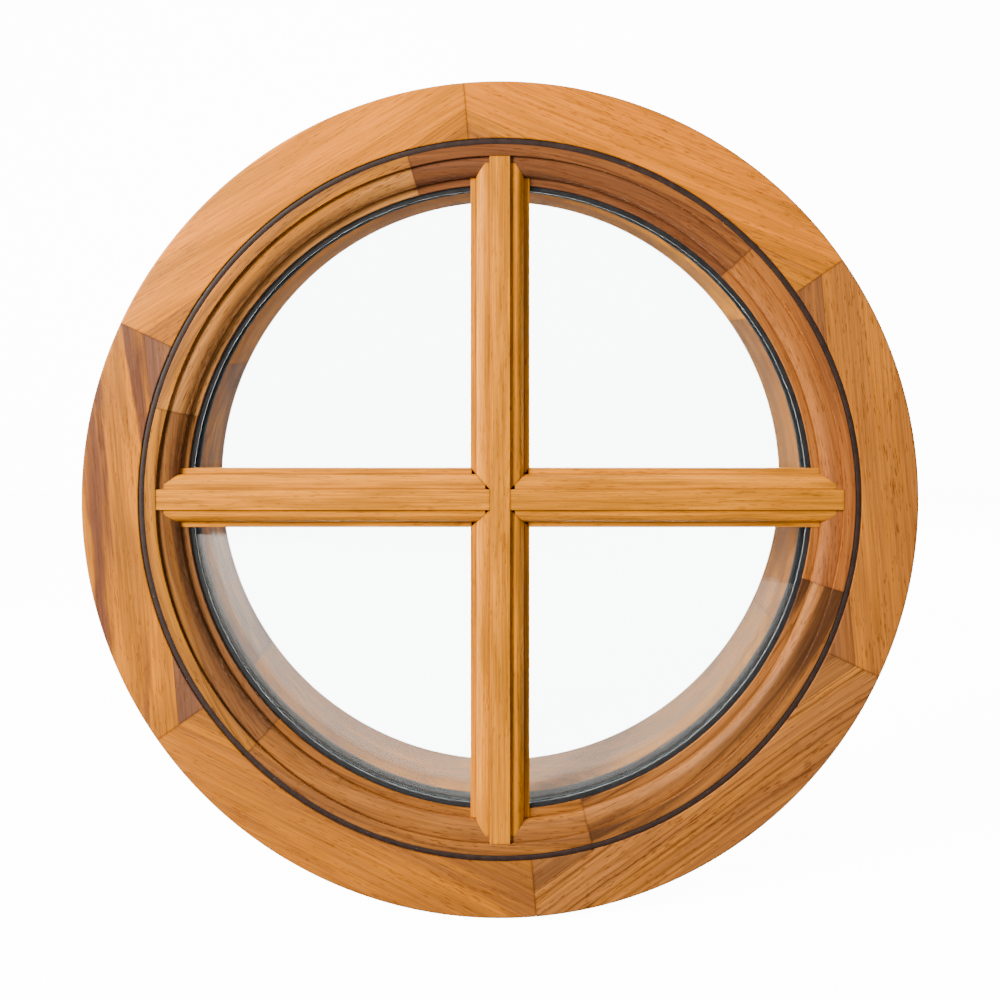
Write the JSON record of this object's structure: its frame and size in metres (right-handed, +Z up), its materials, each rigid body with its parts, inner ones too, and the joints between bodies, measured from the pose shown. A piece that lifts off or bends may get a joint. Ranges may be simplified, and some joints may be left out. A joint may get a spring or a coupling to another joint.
{
  "type": "round window",
  "caption": "Round fixed window with a segmented hardwood frame, a moulded glazing ring, crossing glazing bars and a sealed double glass unit.",
  "frame": {"origin": "on the window's axis, halfway through the frame's depth", "axes": "-Y out of the front face with the mouldings, +Y out of the plain back, +Z up along the upright glazing bar, +X to the right seen from the front"},
  "size_m": [0.6, 0.1, 0.6],
  "materials": {
    "outer_board_wood_1": "satin oiled",
    "outer_board_wood_2": "satin oiled",
    "outer_board_wood_3": "satin oiled",
    "outer_board_wood_4": "satin oiled",
    "outer_board_wood_5": "satin oiled",
    "outer_board_wood_6": "satin oiled",
    "inner_board_wood_1": "satin oiled",
    "inner_board_wood_2": "satin oiled",
    "inner_board_wood_3": "satin oiled",
    "inner_board_wood_4": "satin oiled",
    "inner_board_wood_5": "satin oiled",
    "inner_board_wood_6": "satin oiled",
    "ring_wood_1": "satin oiled",
    "ring_wood_2": "satin oiled",
    "ring_wood_3": "satin oiled",
    "ring_wood_4": "satin oiled",
    "ring_wood_5": "satin oiled",
    "ring_wood_6": "satin oiled",
    "bar_wood_upright": "satin oiled",
    "bar_wood_side": "satin oiled",
    "dowel_wood": "bare",
    "screw_steel": "zinc plated",
    "brown_rubber": "tooled",
    "black_rubber": "matt",
    "pane_glass": "clear float",
    "spacer_aluminium": "mill, roll formed",
    "drying_beads": "matt",
    "block_plastic": "moulded"
  },
  "bodies": {
    "root": {"frame_outer_board_1": "outer_board_wood_1", "frame_outer_board_2": "outer_board_wood_2", "frame_outer_board_3": "outer_board_wood_3", "frame_outer_board_4": "outer_board_wood_4", "frame_outer_board_5": "outer_board_wood_5", "frame_outer_board_6": "outer_board_wood_6", "frame_inner_board_1": "inner_board_wood_1", "frame_inner_board_2": "inner_board_wood_2", "frame_inner_board_3": "inner_board_wood_3", "frame_inner_board_4": "inner_board_wood_4", "frame_inner_board_5": "inner_board_wood_5", "frame_inner_board_6": "inner_board_wood_6", "frame_dowels": "dowel_wood", "ring_segment_1": "ring_wood_1", "ring_segment_2": "ring_wood_2", "ring_segment_3": "ring_wood_3", "ring_segment_4": "ring_wood_4", "ring_segment_5": "ring_wood_5", "ring_segment_6": "ring_wood_6", "ring_dowels": "dowel_wood", "ring_screws": "screw_steel", "perimeter_bedding": "brown_rubber", "bar_vertical": "bar_wood_upright", "bar_left": "bar_wood_side", "bar_right": "bar_wood_side", "bar_end_dowels": "dowel_wood", "cross_dowel": "dowel_wood", "bar_bedding": "black_rubber", "front_pane": "pane_glass", "rear_pane": "pane_glass", "spacer_bar": "spacer_aluminium", "desiccant": "drying_beads", "edge_sealant": "black_rubber", "front_glazing_tape": "black_rubber", "rear_glazing_tape": "black_rubber", "setting_blocks": "block_plastic"}
  },
  "joints": []
}
